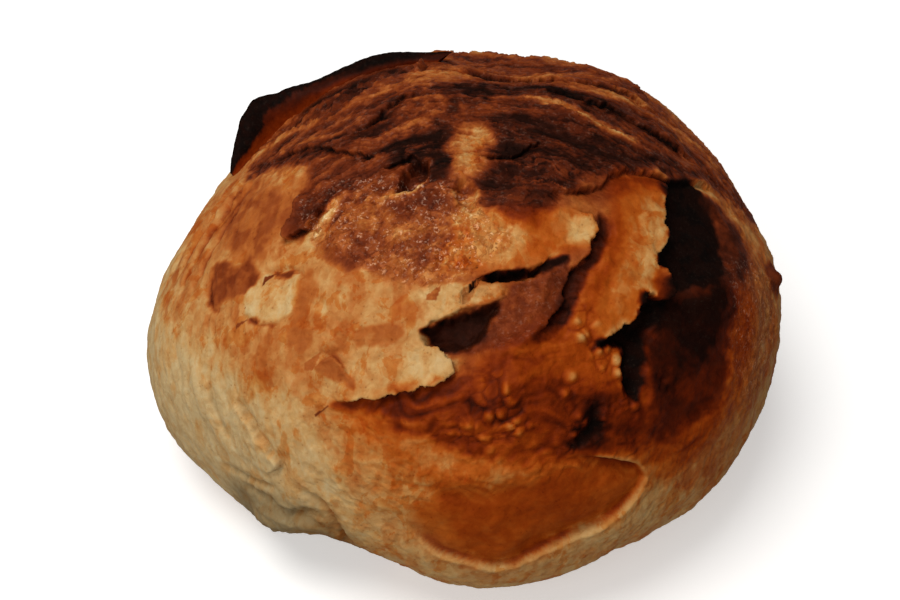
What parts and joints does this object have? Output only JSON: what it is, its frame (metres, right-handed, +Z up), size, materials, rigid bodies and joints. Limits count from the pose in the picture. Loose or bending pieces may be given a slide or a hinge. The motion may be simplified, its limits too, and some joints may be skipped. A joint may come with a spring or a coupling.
{
  "type": "round loaf of bread",
  "caption": "Round hearth-baked loaf of laminated, croissant-style dough with a blistered, torn and partly charred crust and a raised ear of crust on the upper left.",
  "frame": {"origin": "on the surface the loaf stands on, under the middle of its bounding box", "axes": "+Z up, -Y towards the front, the side the sunken blister is on; +X to the right when looking at the front; the raised ear is on the upper left, towards -X and +Y"},
  "size_m": [0.2024, 0.1962, 0.1232],
  "materials": {
    "crust": "baked crust, cream at the foot through golden and orange-brown to charred black on the torn edges, with a buttery sheen"
  },
  "bodies": {
    "root": {"loaf": "crust"}
  },
  "joints": []
}
